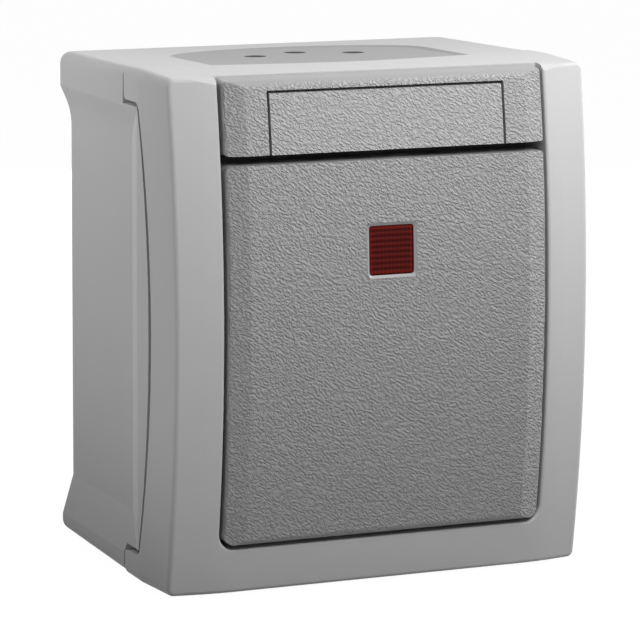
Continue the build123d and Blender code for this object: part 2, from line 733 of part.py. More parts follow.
# Indicator lens: ribbed window with a flange behind the rocker's plate
lens_seat = lens_plane.offset(-rocker_plate - lens_rim)
with BuildPart() as lens:
    with BuildSketch(lens_seat):
        Rectangle(lens_width, lens_height)
    extrude(amount=rocker_plate + lens_rim - lens_recess)
    with BuildSketch(lens_seat):
        Rectangle(lens_width + 2 * lens_flange, lens_height + 2 * lens_flange)
    extrude(amount=-lens_flange)
    with BuildSketch(lens_plane.offset(-lens_recess)):
        with GridLocations(0, lens_height / lens_ribs, 1, lens_ribs - 1):
            Rectangle(lens_width - 2 * lens_rib_depth, lens_rib_depth)
    extrude(amount=-lens_rib_depth, mode=Mode.SUBTRACT)
lens.part.label = "lens"
export_step(lens.part, "parts/lens.step")

# Actuator: head in the rocker's spigot, trunnions on the pivot axis, barrel for the plunger
trunnion_reach = actuator_width / 2 + 1.2 + arm_thick
bore_front = sphere_mid + plunger_tail
with BuildPart() as actuator:
    with BuildSketch(Plane.XZ.offset(pivot_depth - barrel_radius)):
        with Locations((0, pivot_z)):
            Rectangle(actuator_width, actuator_height)
    extrude(amount=barrel_radius + actuator_front)
    with BuildSketch(Plane.XZ.offset(pivot_depth - barrel_radius)):
        with Locations((0, pivot_z)):
            Circle(barrel_radius)
    extrude(amount=-(barrel_length - barrel_radius))
    with BuildSketch(Plane.YZ):
        with Locations((-pivot_depth, pivot_z)):
            Circle(trunnion_radius)
    extrude(amount=trunnion_reach, both=True)
    with BuildSketch(Plane.XZ.offset(pivot_depth - barrel_length)):
        with Locations((0, pivot_z)):
            Circle(plunger_radius + plunger_gap)
    extrude(amount=barrel_length + actuator_front - spigot_wall, mode=Mode.SUBTRACT)
actuator.part.label = "actuator"
export_step(actuator.part, "parts/actuator.step")
bore_end = pivot_depth + actuator_front - spigot_wall

# Plunger with a ball tip, sliding in the barrel
with BuildPart() as plunger:
    with BuildSketch(Plane.XY.offset(pivot_z)):
        with BuildLine():
            Line((0, -bore_front), (0, -(sphere_mid - plunger_tip)))
            TangentArc((0, -(sphere_mid - plunger_tip)), (plunger_tip, -sphere_mid), tangent=(1, 0))
            Polyline((plunger_tip, -sphere_mid), (plunger_tip, -(sphere_mid + plunger_tip)),
                     (plunger_radius, -(sphere_mid + 2 * plunger_tip)), (plunger_radius, -bore_front),
                     (0, -bore_front))
        make_face()
    revolve(axis=Axis((0, 0, pivot_z), (0, 1, 0)))
plunger.part.label = "plunger"
export_step(plunger.part, "parts/plunger.step")

# Helical spring between the plunger's tail and the end of the actuator's bore
spring_length = bore_end - bore_front - spring_wire
with BuildPart() as plunger_spring:
    with BuildLine() as coil:
        Helix((spring_length - spring_wire) / spring_turns, spring_length - spring_wire, spring_radius,
              center=(0, -bore_front - spring_wire - screw_gap, pivot_z), direction=(0, -1, 0))
    with BuildSketch(Plane(origin=coil.line @ 0, z_dir=coil.line % 0)):
        RegularPolygon(spring_wire, 6)
    sweep(is_frenet=True)
plunger_spring.part.label = "plunger_spring"
export_step(plunger_spring.part, "parts/plunger_spring.step")

# Seal behind the rocker: a rubber plate under the rim with a raised lip round the actuator
arm_outer = trunnion_reach
with BuildPart() as rocker_seal:
    with BuildSketch(Plane.XZ.offset(flange_back - seal_thick)):
        with Locations((0, rim_low)):
            Rectangle(2 * rim_half, flange_low - seal_gap - rim_low, align=(Align.CENTER, Align.MIN))
        with Locations((0, pivot_z)):
            Rectangle(2 * (arm_outer + seal_gap), arm_width + 2 * seal_gap, mode=Mode.SUBTRACT)
        with Locations((0, lens_z)):
            Circle(carrier_radius + seal_gap / 2, mode=Mode.SUBTRACT)
    extrude(amount=seal_thick)
    with BuildSketch(Plane.XZ.offset(flange_back)):
        with Locations((0, pivot_z)):
            Rectangle(2 * (arm_outer + seal_gap + seal_lip), arm_width + 2 * (seal_gap + seal_lip))
            Rectangle(2 * (arm_outer + seal_gap), arm_width + 2 * seal_gap, mode=Mode.SUBTRACT)
    extrude(amount=seal_lip / 2)
rocker_seal.part.label = "rocker_seal"
export_step(rocker_seal.part, "parts/rocker_seal.step")

# Steel mounting plate, screwed to the box's pillars
window_top = lens_z + carrier_radius + 1
window_low = pivot_z - arm_width / 2 - 1.5
with BuildPart() as mounting_plate:
    with BuildSketch(Plane.XZ.offset(plate_depth)):
        with Locations((0, pivot_z)):
            RectangleRounded(plate_width, plate_height, 3)
        with Locations((0, window_low)):
            Rectangle(plate_window_width, window_top - window_low, align=(Align.CENTER, Align.MIN),
                      mode=Mode.SUBTRACT)
        with Locations((pillar_x, pivot_z), (-pillar_x, pivot_z)):
            Circle(screw_radius + 2 * screw_gap, mode=Mode.SUBTRACT)
    extrude(amount=plate_thick)
mounting_plate.part.label = "mounting_plate"
export_step(mounting_plate.part, "parts/mounting_plate.step")

# Insulating base: contact well, bearing arms, terminal pockets, strip slots and wire entries
terminal_places = [
    (side * terminal_x, pivot_z + up * terminal_z) for side in (1, -1) for up in (1, -1)
]
terminal_back = base_back + base_floor
arm_inner = actuator_width / 2 + 1.2
with BuildPart() as mechanism_base:
    with BuildSketch(Plane.XZ.offset(base_back)):
        with Locations((0, pivot_z)):
            RectangleRounded(base_width, base_height, 2)
    extrude(amount=base_depth)
    with BuildSketch(Plane.XZ.offset(well_floor)):
        with Locations((0, lever_z)):
            Rectangle(well_width, well_height)
    extrude(amount=base_depth, mode=Mode.SUBTRACT)
    # bearing arms either side of the actuator
    with BuildSketch(Plane.XZ.offset(plate_depth)):
        with Locations((arm_inner + arm_thick / 2, pivot_z), (-arm_inner - arm_thick / 2, pivot_z)):
            Rectangle(arm_thick, arm_width)
    extrude(amount=pivot_depth + arm_end - plate_depth)
    with BuildSketch(Plane.YZ):
        with Locations((-pivot_depth, pivot_z)):
            Circle(trunnion_radius + trunnion_gap)
    extrude(amount=base_width, both=True, mode=Mode.SUBTRACT)
    # terminal pockets open to both sides
    with BuildSketch(Plane.XZ.offset(terminal_back)):
        with Locations(*terminal_places):
            Rectangle(terminal_size, terminal_size)
    extrude(amount=terminal_length, mode=Mode.SUBTRACT)
    with BuildSketch(Plane.XZ.offset(terminal_back)):
        with Locations((base_width / 2, pivot_z + terminal_z), (base_width / 2, pivot_z - terminal_z),
                       (-base_width / 2, pivot_z + terminal_z), (-base_width / 2, pivot_z - terminal_z)):
            Rectangle(2 * (base_width / 2 - terminal_x), terminal_size)
    extrude(amount=terminal_length, mode=Mode.SUBTRACT)
    with BuildSketch(Plane.XZ.offset(base_back)):
        with Locations(*terminal_places):
            Circle(wire_bore / 2)
    extrude(amount=base_floor, mode=Mode.SUBTRACT)
    # slots for the contact strips, from the well to the pockets
    with BuildSketch(Plane.XZ.offset(well_floor)):
        with Locations((-strip_width / 2, pivot_z + terminal_z), (-strip_width / 2, pivot_z - terminal_z)):
            Rectangle(terminal_x + strip_width / 2, strip_width, align=(Align.MIN, Align.CENTER))
        with Locations((-terminal_x / 2, pivot_z - terminal_z)):
            Rectangle(terminal_x, strip_width)
    extrude(amount=strip_thick, mode=Mode.SUBTRACT)
    with BuildSketch(Plane.XZ.offset(plate_depth)):
        with Locations((lead_spread, lens_z), (-lead_spread, lens_z)):
            Circle(lead_radius + screw_gap)
    extrude(amount=-lead_length, mode=Mode.SUBTRACT)
mechanism_base.part.label = "mechanism_base"
export_step(mechanism_base.part, "parts/mechanism_base.step")

# Fixed contacts: strips from the well to the right-hand terminals, each with a slanted contact tip
strip_end = terminal_x - terminal_size / 2
for name, up in (("upper", 1), ("lower", -1)):
    tilt = radians(up * lever_tilt)
    tip_plane = Plane(
        origin=(0, -lever_depth, lever_z), x_dir=(1, 0, 0), z_dir=(0, -cos(tilt), sin(tilt))
    )
    with BuildPart() as fixed_contact:
        with BuildSketch(tip_plane.offset(-tip_thick - tip_gap)):
            with Locations((0, up * tip_reach)):
                Circle(tip_radius)
        extrude(amount=-base_depth)
        with BuildSketch(Plane.XZ.offset(well_floor)):
            with Locations((0, pivot_z)):
                Rectangle(width, height)
        extrude(amount=far, mode=Mode.INTERSECT)
        with BuildSketch(Plane.XZ.offset(well_floor)):
            with Locations((-strip_width / 2, pivot_z + up * terminal_z)):
                Rectangle(strip_end + strip_width / 2, strip_width, align=(Align.MIN, Align.CENTER))
            with Locations((0, lever_z + up * tip_reach)):
                Circle(strip_width / 2)
        extrude(amount=strip_thick)
    fixed_contact.part.label = f"fixed_contact_{name}"
    export_step(fixed_contact.part, f"parts/fixed_contact_{name}.step")

# Common contact: strip to a left-hand terminal, with two ears that carry the lever's pin
ear_inner = strip_width / 2 + 0.4
ear_front = lever_depth + 1.4
with BuildPart() as common_contact:
    with BuildSketch(Plane.XZ.offset(well_floor)):
        with Locations((0, lever_z)):
            Rectangle(2 * (ear_inner + ear_thick), ear_width)
        with Locations((-strip_end, pivot_z - terminal_z)):
            Rectangle(strip_end - ear_inner, strip_width, align=(Align.MIN, Align.CENTER))
        with Locations((-ear_inner - ear_thick, pivot_z - terminal_z - strip_width / 2)):
            Rectangle(ear_thick, lever_z + ear_width / 2 - (pivot_z - terminal_z - strip_width / 2),
                      align=(Align.MIN, Align.MIN))
    extrude(amount=strip_thick)
    with BuildSketch(Plane.XZ.offset(well_floor)):
        with Locations((ear_inner + ear_thick / 2, lever_z), (-ear_inner - ear_thick / 2, lever_z)):
            Rectangle(ear_thick, ear_width)
    extrude(amount=ear_front - well_floor)
    with BuildSketch(Plane.YZ):
        with Locations((-lever_depth, lever_z)):
            Circle(lever_pin + lever_pin_gap)
    extrude(amount=base_width, both=True, mode=Mode.SUBTRACT)
common_contact.part.label = "common_contact"
export_step(common_contact.part, "parts/common_contact.step")

# Moving contact: a see-saw lever on its pin, tipped against the upper contact at rest
rest_tilt = radians(lever_tilt)
lever_plane = Plane(
    origin=(0, -lever_depth, lever_z), x_dir=(1, 0, 0), z_dir=(0, -cos(rest_tilt), sin(rest_tilt))
)
with BuildPart() as moving_contact:
    with BuildSketch(lever_plane):
        Rectangle(strip_width, 2 * lever_half)
    extrude(amount=lever_thick)
    with BuildSketch(Plane.YZ):
        with Locations((-lever_depth, lever_z)):
            Circle(lever_pin)
    extrude(amount=ear_inner + ear_thick, both=True)
moving_contact.part.label = "moving_contact"
export_step(moving_contact.part, "parts/moving_contact.step")
for name, up in (("upper", 1), ("lower", -1)):
    with BuildPart() as moving_tip:
        with BuildSketch(lever_plane):
            with Locations((0, up * tip_reach)):
                Circle(tip_radius)
        extrude(amount=-tip_thick)
    moving_tip.part.label = f"moving_tip_{name}"
    export_step(moving_tip.part, f"parts/moving_tip_{name}.step")

# Terminals: brass blocks in the base's pockets, each with a wire hole and a side screw
screw_depth = terminal_back + terminal_length / 2
corner_names = ("right_upper", "right_lower", "left_upper", "left_lower")
for name, (x, z) in zip(corner_names, terminal_places):
    side = 1 if x > 0 else -1
    with BuildPart() as terminal:
        with BuildSketch(Plane.XZ.offset(terminal_back)):
            with Locations((x, z)):
                Rectangle(terminal_size, terminal_size)
                Circle(wire_bore / 2, mode=Mode.SUBTRACT)
        extrude(amount=terminal_length)
        with BuildSketch(Plane.YZ.offset(x)):
            with Locations((-screw_depth, z)):
                Circle(terminal_screw_radius + screw_gap)
        extrude(amount=side * terminal_size, mode=Mode.SUBTRACT)
    terminal.part.label = f"terminal_{name}"
    export_step(terminal.part, f"parts/terminal_{name}.step")
    outer = x + side * terminal_size / 2
    with BuildPart() as terminal_screw:
        with BuildSketch(Plane.YZ.offset(outer)):
            with Locations((-screw_depth, z)):
                Circle(terminal_head)
        extrude(amount=side * head_height / 2)
        with BuildSketch(Plane.YZ.offset(outer)):
            with Locations((-screw_depth, z)):
                Circle(terminal_screw_radius)
        extrude(amount=-side * (terminal_size - wire_bore) / 2)
        with BuildSketch(Plane.YZ.offset(outer + side * head_height / 2)):
            with Locations((-screw_depth, z)):
                Rectangle(drive_slot, 2 * terminal_head)
        extrude(amount=-side * drive_slot / 2, mode=Mode.SUBTRACT)
    terminal_screw.part.label = f"terminal_screw_{name}"
    export_step(terminal_screw.part, f"parts/terminal_screw_{name}.step")

# Lamp carrier on the base, glow lamp in it, and its two leads
with BuildPart() as lamp_carrier:
    with BuildSketch(Plane.XZ.offset(plate_depth)):
        with Locations((0, lens_z)):
            Circle(carrier_radius)
    extrude(amount=carrier_length)
    with BuildSketch(Plane.XZ.offset(plate_depth + carrier_floor)):
        with Locations((0, lens_z)):
            Circle(lamp_radius + screw_gap)
    extrude(amount=carrier_length, mode=Mode.SUBTRACT)
    with BuildSketch(Plane.XZ.offset(plate_depth)):
        with Locations((lead_spread, lens_z), (-lead_spread, lens_z)):
            Circle(lead_radius + screw_gap)
    extrude(amount=carrier_floor, mode=Mode.SUBTRACT)
lamp_carrier.part.label = "lamp_carrier"
export_step(lamp_carrier.part, "parts/lamp_carrier.step")

with BuildPart() as glow_lamp:
    with BuildSketch(Plane.XY.offset(lens_z)):
        with BuildLine():
            foot = -(plate_depth + carrier_floor)
            dome = -(plate_depth + lamp_front)
            Line((0, dome), (0, foot))
            Polyline((0, foot), (lamp_radius, foot), (lamp_radius, dome + lamp_radius))
            TangentArc((lamp_radius, dome + lamp_radius), (0, dome), tangent=(0, -1))
        make_face()
    revolve(axis=Axis((0, 0, lens_z), (0, 1, 0)))
glow_lamp.part.label = "glow_lamp"
export_step(glow_lamp.part, "parts/glow_lamp.step")

for name, x in (("left", -lead_spread), ("right", lead_spread)):
    with BuildPart() as lamp_lead:
        with BuildSketch(Plane.XZ.offset(plate_depth + carrier_floor)):
            with Locations((x, lens_z)):
                Circle(lead_radius)
        extrude(amount=-(carrier_floor + lead_length))
    lamp_lead.part.label = f"lamp_lead_{name}"
    export_step(lamp_lead.part, f"parts/lamp_lead_{name}.step")

# Screws: two for the insert, two for the frame behind the label panel
screw_places = (
    ("insert_screw_left", -pillar_x, pivot_z, plate_front, insert_screw_length),
    ("insert_screw_right", pillar_x, pivot_z, plate_front, insert_screw_length),
    ("frame_screw_left", -frame_screw_x, frame_screw_z, flange_front, frame_screw_length),
    ("frame_screw_right", frame_screw_x, frame_screw_z, flange_front, frame_screw_length),
)
for name, x, z, seat, length in screw_places:
    with BuildPart() as screw:
        with BuildSketch(Plane.XZ.offset(seat)):
            with Locations((x, z)):
                Circle(head_radius)
        extrude(amount=head_height)
        with BuildSketch(Plane.XZ.offset(seat)):
            with Locations((x, z)):
                Circle(screw_radius)
        extrude(amount=-(length - head_height))
        with BuildSketch(Plane.XZ.offset(seat + head_height)):
            with Locations((x, z)):
                Rectangle(2 * head_radius, drive_slot)
                Rectangle(drive_slot, 2 * head_radius)
        extrude(amount=-head_height / 2, mode=Mode.SUBTRACT)
    screw.part.label = name
    export_step(screw.part, f"parts/{name}.step")
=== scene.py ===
# %% [markdown]
# # A splash-proof rocker switch with an indicator window
# The switch is a closed grey box for a wall. A bowed front frame is screwed onto it, and in the frame sit a
# label bar and a large rocker with a small red lens. The solids come ready made, in metres and in their
# real places. This lesson dresses them: it gives every piece a finish, builds the few details that
# are too fine for solids, and sets up the light and the camera.

# %% Load the solids
import math
import bmesh
import bpy
from mathutils import Matrix, Vector


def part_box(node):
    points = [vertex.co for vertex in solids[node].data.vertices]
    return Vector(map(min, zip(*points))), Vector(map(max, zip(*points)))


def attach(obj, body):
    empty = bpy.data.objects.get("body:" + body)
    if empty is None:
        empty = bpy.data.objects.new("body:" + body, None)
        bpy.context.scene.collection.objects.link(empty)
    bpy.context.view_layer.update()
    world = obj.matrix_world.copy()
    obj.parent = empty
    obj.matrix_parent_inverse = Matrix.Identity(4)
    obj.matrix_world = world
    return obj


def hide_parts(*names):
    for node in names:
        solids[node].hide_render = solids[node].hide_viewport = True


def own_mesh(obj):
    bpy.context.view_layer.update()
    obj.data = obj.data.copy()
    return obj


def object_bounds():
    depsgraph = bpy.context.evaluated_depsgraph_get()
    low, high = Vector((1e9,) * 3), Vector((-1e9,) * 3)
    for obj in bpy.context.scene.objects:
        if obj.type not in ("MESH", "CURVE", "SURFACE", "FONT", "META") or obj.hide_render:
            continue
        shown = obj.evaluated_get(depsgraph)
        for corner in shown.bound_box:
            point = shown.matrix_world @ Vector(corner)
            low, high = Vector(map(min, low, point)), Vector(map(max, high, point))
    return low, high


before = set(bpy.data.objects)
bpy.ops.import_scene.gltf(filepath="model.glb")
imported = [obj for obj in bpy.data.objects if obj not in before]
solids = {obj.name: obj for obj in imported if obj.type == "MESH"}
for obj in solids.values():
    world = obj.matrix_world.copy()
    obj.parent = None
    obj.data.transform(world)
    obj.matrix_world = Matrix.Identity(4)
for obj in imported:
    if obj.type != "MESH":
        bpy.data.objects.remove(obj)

mm = 0.001
cad_box = [[float(v) for v in corner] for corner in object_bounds()]
print("solids:", len(solids), "box:", cad_box)

# %% [markdown]
# ## Camera
# The switch was seen from the left and a little above, from about half a metre away with a long lens. A long
# lens keeps upright edges nearly parallel. The camera is placed by two angles and a distance around a point
# in the middle of the switch. Its own axes are written down as a matrix, because that also holds the
# slight roll.

# %% Place the camera
turn, lift, roll = math.radians(23.83), math.radians(9.60), math.radians(0.294)
aim = Vector((0, -0.020, 0))
distance = 0.5707
backwards = Vector((-math.sin(turn) * math.cos(lift), -math.cos(turn) * math.cos(lift), math.sin(lift)))
level_right = Vector((math.cos(turn), -math.sin(turn), 0))
level_up = backwards.cross(level_right)
right = math.cos(roll) * level_right + math.sin(roll) * level_up
up = math.cos(roll) * level_up - math.sin(roll) * level_right

camera = bpy.data.objects.new("camera", bpy.data.cameras.new("camera"))
bpy.context.scene.collection.objects.link(camera)
place = Matrix((right, up, backwards)).transposed().to_4x4()
place.translation = aim + distance * backwards
camera.matrix_world = place
camera.data.sensor_width = 36
camera.data.lens = 213.27
camera.data.shift_x = 0.0206
camera.data.shift_y = -0.0325
camera.data.clip_start = 0.01
bpy.context.scene.camera = camera
print("camera at", [round(v, 4) for v in camera.location])

# %% [markdown]
# ## A short way to write nodes
# Materials are small networks. Writing each node and each wire in full is long, so one helper makes a node,
# sets its options, and fills its inputs. An input that gets another node's socket is wired, and any other
# value is set on the input itself. Three more helpers write the nodes that come up most often: a sum or
# product, a change of range, and a colour or vector times a factor.

# %% Node helpers
def feed(tree, socket, value):
    """Wires a node's output to this socket, or sets a plain value on it."""
    if isinstance(value, bpy.types.NodeSocket):
        tree.links.new(value, socket)
    else:
        socket.default_value = value


def make(tree, kind, options=None, **inputs):
    """Adds a node of this kind; inputs are given by name, with _ for a space."""
    node = tree.nodes.new(kind)
    for name, value in (options or {}).items():
        setattr(node, name, value)
    for name, value in inputs.items():
        feed(tree, node.inputs[name.replace("_", " ")], value)
    return node


def calc(tree, operation, *values):
    """One step of arithmetic with numbers or sockets."""
    node = make(tree, "ShaderNodeMath", {"operation": operation})
    for socket, value in zip(node.inputs, values):
        feed(tree, socket, value)
    return node.outputs["Value"]


def remap(tree, value, old, new=(0, 1), curve="LINEAR"):
    """Brings a value from the old range to the new one and keeps it inside."""
    node = make(tree, "ShaderNodeMapRange", {"interpolation_type": curve}, Value=value,
                From_Min=old[0], From_Max=old[1], To_Min=new[0], To_Max=new[1])
    return node.outputs["Result"]


def scaled(tree, vector, factor):
    """A colour or vector times a factor."""
    node = make(tree, "ShaderNodeVectorMath", {"operation": "SCALE"}, Scale=factor)
    feed(tree, node.inputs[0], vector)
    return node.outputs["Vector"]


def grey(value):
    return (value, value, value, 1)


print("node helpers ready")

# %% [markdown]
# ## Groups
# An effect that several finishes share is a node group: a small network with named sockets at both ends. All
# the groups here hand out the same three things, a colour, a roughness and a height, so any of them can
# stand in front of the same shader.

# %% Group helpers
def new_group(name, **inputs):
    """A shader node group with these inputs; a number makes a float socket and a tuple a colour socket."""
    group = bpy.data.node_groups.new(name, "ShaderNodeTree")
    for socket, value in inputs.items():
        kind = "NodeSocketColor" if isinstance(value, tuple) else "NodeSocketFloat"
        made = group.interface.new_socket(socket.replace("_", " "), in_out="INPUT", socket_type=kind)
        made.default_value = value
    group.interface.new_socket("Colour", in_out="OUTPUT", socket_type="NodeSocketColor")
    group.interface.new_socket("Roughness", in_out="OUTPUT", socket_type="NodeSocketFloat")
    group.interface.new_socket("Height", in_out="OUTPUT", socket_type="NodeSocketFloat")
    return group, group.nodes.new("NodeGroupInput").outputs


def hand_out(group, **results):
    """Wires the results to the end of the group."""
    make(group, "NodeGroupOutput", **results)
    print("group:", group.name, "nodes:", len(group.nodes))


print("group helpers ready")

# %% [markdown]
# ## Fine matt skin
# Moulded housings come out of a tool that was roughened by sparks. The skin is a field of shallow pits about
# a tenth of a millimetre across, and the colour drifts very slightly from place to place. One noise gives
# the pits and another, much larger one gives the drift.

# %% Group: fine matt skin
skin, given = new_group("fine matt skin", Colour=grey(0.5), Pits_per_metre=5000.0, Drift=0.04, Roughness=0.5)
clouds_per_metre = 70.0
darkest_drift = 0.98
pit_dull = 0.16
where = make(skin, "ShaderNodeTexCoord").outputs["Object"]
pits = make(skin, "ShaderNodeTexNoise", Vector=where, Scale=given["Pits per metre"], Detail=2.0,
            Roughness=0.6).outputs["Fac"]
cloud = make(skin, "ShaderNodeTexNoise", Vector=where, Scale=clouds_per_metre, Detail=3.0,
             Roughness=0.55).outputs["Fac"]
brightness = calc(skin, "MULTIPLY_ADD", cloud, given["Drift"], darkest_drift)
least_rough = calc(skin, "SUBTRACT", given["Roughness"], pit_dull / 2)
hand_out(skin, Colour=scaled(skin, given["Colour"], brightness),
         Roughness=calc(skin, "MULTIPLY_ADD", pits, pit_dull, least_rough), Height=pits)

# %% [markdown]
# ## Leather grain
# The rocker, the label bar and its panel carry an embossed grain, so fingers don't slip and scratches don't
# show. It looks like fine leather: short wrinkles, under a millimetre long, that lean to one side and split
# and join. A noise that is stretched along one direction gives wrinkles. Bending its coordinates with a
# second noise first makes them split and join. The tool was only grained on the front, so the grain fades
# where the surface turns away from it; the object's own normal tells how far it has turned. The bare
# plastic there is glossier.

# %% Group: leather grain
grain, given = new_group("leather grain", Colour=grey(0.3), Wrinkles_per_metre=3300.0, Roughness=0.55)
bends_per_metre, bend_reach = 2800.0, 0.00027
lean, stretch = math.radians(35), 1.9
valley_to_crest = (0.32, 0.66)
side_to_front = (-0.60, -0.92)
# Colour levels in the wrinkles: painted shade in the valleys and painted highlight on the crests.
painted_valley_shade_crest_highlight = (0.94, 1.05)
bare_gloss, crest_gloss = -0.20, -0.08

seat = make(grain, "ShaderNodeTexCoord").outputs
bend = make(grain, "ShaderNodeTexNoise", Vector=seat["Object"], Scale=bends_per_metre, Detail=1.0)
bent = make(grain, "ShaderNodeVectorMath", {"operation": "ADD"})
feed(grain, bent.inputs[0], seat["Object"])
feed(grain, bent.inputs[1], scaled(grain, bend.outputs["Color"], bend_reach))
leaning = make(grain, "ShaderNodeMapping", {"vector_type": "TEXTURE"}, Vector=bent.outputs["Vector"],
               Rotation=(0, lean, 0), Scale=(stretch, 1, 1))
wrinkle = make(grain, "ShaderNodeTexNoise", Vector=leaning.outputs["Vector"],
               Scale=given["Wrinkles per metre"], Detail=1.2, Roughness=0.5)
crest = remap(grain, wrinkle.outputs["Fac"], valley_to_crest, curve="SMOOTHSTEP")
turned = make(grain, "ShaderNodeSeparateXYZ", Vector=seat["Normal"])
front = remap(grain, turned.outputs["Y"], side_to_front)
relief = calc(grain, "MULTIPLY", crest, front)
# Painted shade in the grain's valleys and painted highlight on its crests.
shade = remap(grain, relief, (0, 1), painted_valley_shade_crest_highlight)
plain = calc(grain, "ADD", given["Roughness"], remap(grain, front, (0, 1), (bare_gloss, 0)))
hand_out(grain, Colour=scaled(grain, given["Colour"], shade),
         Roughness=calc(grain, "MULTIPLY_ADD", relief, crest_gloss, plain), Height=relief)

# %% [markdown]
# ## One function for all these finishes
# Each finish is a Principled shader with a group in front of it. The group gives the colour, the roughness
# and a height, and a Bump node turns the height into a tilted normal. Numbers that are the same
# all over, such as how strongly the surface mirrors, are set on the shader itself.

# %% Finish from a group
def finish_from(name, group, depth, group_values, **shader_values):
    """A material whose colour, roughness and relief come from a node group."""
    material = bpy.data.materials.new(name)
    material.use_nodes = True
    tree = material.node_tree
    shader = tree.nodes["Principled BSDF"]
    surface = make(tree, "ShaderNodeGroup", {"node_tree": group})
    for socket, value in group_values.items():
        surface.inputs[socket].default_value = value
    relief = make(tree, "ShaderNodeBump", Height=surface.outputs["Height"], Distance=depth, Strength=1.0)
    tree.links.new(surface.outputs["Colour"], shader.inputs["Base Color"])
    tree.links.new(surface.outputs["Roughness"], shader.inputs["Roughness"])
    tree.links.new(relief.outputs["Normal"], shader.inputs["Normal"])
    for socket, value in shader_values.items():
        shader.inputs[socket.replace("_", " ")].default_value = value
    return material


def dress(material, *names):
    """Gives these solids the material and no other."""
    for name in names:
        mesh = solids[name].data
        mesh.materials.clear()
        mesh.materials.append(material)
    print(material.name, "on", ", ".join(names))


print("finish helpers ready")

# %% [markdown]
# ## Grey plastics
# The box and the frame are the same pale grey with the fine matt skin. The rocker, the bar and its panel are
# a darker grey with the leather grain; the bar is a shade paler than the rocker, and the panel than the bar.
# Seen at a flat angle, every plastic mirrors what is behind it, and a rough skin does so less. A low specular
# level on the pale grey stands for that.

# %% Grey plastics
pale_shade, pale_pits, pale_mirror = grey(0.62), 5200.0, 0.2
box_grey = finish_from("housing grey", skin, 0.000012,
                       {"Colour": pale_shade, "Pits per metre": pale_pits, "Drift": 0.04, "Roughness": 0.55},
                       Specular_IOR_Level=pale_mirror)
frame_grey = finish_from("frame grey", skin, 0.000010,
                         {"Colour": pale_shade, "Pits per metre": pale_pits, "Drift": 0.03, "Roughness": 0.50},
                         Specular_IOR_Level=pale_mirror)
dress(box_grey, "back_box")
dress(frame_grey, "front_frame")
for name, node, shade, depth in (("rocker grey", "rocker", 0.349, 0.00017),
                                 ("label bar grey", "label_bar", 0.380, 0.00017),
                                 ("label panel grey", "label_panel", 0.402, 0.00015)):
    dress(finish_from(name, grain, depth, {"Colour": grey(shade)}), node)

# %% [markdown]
# ## Even shading on the frame
# The frame's lip has very thin triangles where its rounding meets the bowed front. A corner that belongs to
# such a triangle can point the wrong way and shade a dark spot. A Weighted Normal modifier works out each
# corner's direction again from its triangles and lets the large ones count most, and it leaves the shape as
# it is.

# %% Even shading
even = solids["front_frame"].modifiers.new("even shading", "WEIGHTED_NORMAL")
even.mode = "FACE_AREA"
even.weight = 50
print(even.name, "on", solids["front_frame"].name)

# %% [markdown]
# ## Rubber
# The cable membrane in the top is soft grey rubber, duller than the plastic. The gasket and the seal inside
# are a darker grey, partly their own colour and partly painted light: the grey is kept paler than black so the
# shaded gaps and seams where they show read lighter. Rubber has no clear gloss, so its roughness is high and a
# faint sheen lightens its edges.

# %% Rubber
rubber_pits, rubber_depth = 3200.0, 0.000020
membrane_grey = finish_from("membrane rubber", skin, rubber_depth,
                            {"Colour": grey(0.348), "Pits per metre": rubber_pits, "Drift": 0.06,
                             "Roughness": 0.75}, Sheen_Weight=0.1)
# The seal's grey is partly painted light: paler than the rubber itself, so the gaps and seams it fills look
# less dark.
seal_grey_and_gap_light = finish_from("seal rubber", skin, rubber_depth,
                        {"Colour": grey(0.22), "Pits per metre": rubber_pits, "Drift": 0.06,
                         "Roughness": 0.7}, Sheen_Weight=0.1)
dress(membrane_grey, "cable_membrane")
dress(seal_grey_and_gap_light, "cover_gasket", "rocker_seal")

# %% [markdown]
# ## Insulating plastics inside
# The switch insert is hidden behind the rocker, but the frame and the rocker can be taken off. Its plastics
# are warm whites, with the same skin as the housing.

# %% Insulating plastics
white_plastic = finish_from("white plastic", skin, 0.000008,
                            {"Colour": (0.80, 0.80, 0.77, 1), "Pits per metre": 4000.0, "Drift": 0.03,
                             "Roughness": 0.4})
base_plastic = finish_from("base plastic", skin, 0.000010,
                           {"Colour": (0.72, 0.72, 0.69, 1), "Pits per metre": 3000.0, "Drift": 0.05,
                            "Roughness": 0.5})
dress(white_plastic, "actuator", "lamp_carrier")
dress(base_plastic, "mechanism_base")

# %% [markdown]
# ## Rolled metal
# The plate and the screws are zinc-plated steel, the strips and terminal blocks are brass, and the contact
# tips are silver. A rolled or plated surface has fine lines in one direction, so the noise is
# stretched a lot along one axis. Tarnish is a darker colour where a large noise is high, and it is duller.

# %% Group: rolled metal
rolled, given = new_group("rolled metal", Bright=grey(0.6), Tarnish=grey(0.4), Roughness=0.3)
lines_per_metre, line_stretch = 5200.0, 14
spots_per_metre, spot_edge = 260.0, (0.48, 0.72)
tarnish_dull = 0.18
where = make(rolled, "ShaderNodeTexCoord").outputs["Object"]
along = make(rolled, "ShaderNodeMapping", {"vector_type": "TEXTURE"}, Vector=where, Scale=(line_stretch, 1, 1))
lines = make(rolled, "ShaderNodeTexNoise", Vector=along.outputs["Vector"], Scale=lines_per_metre, Detail=2.0)
spots = make(rolled, "ShaderNodeTexNoise", Vector=where, Scale=spots_per_metre, Detail=4.0, Roughness=0.6)
patch = remap(rolled, spots.outputs["Fac"], spot_edge, curve="SMOOTHSTEP")
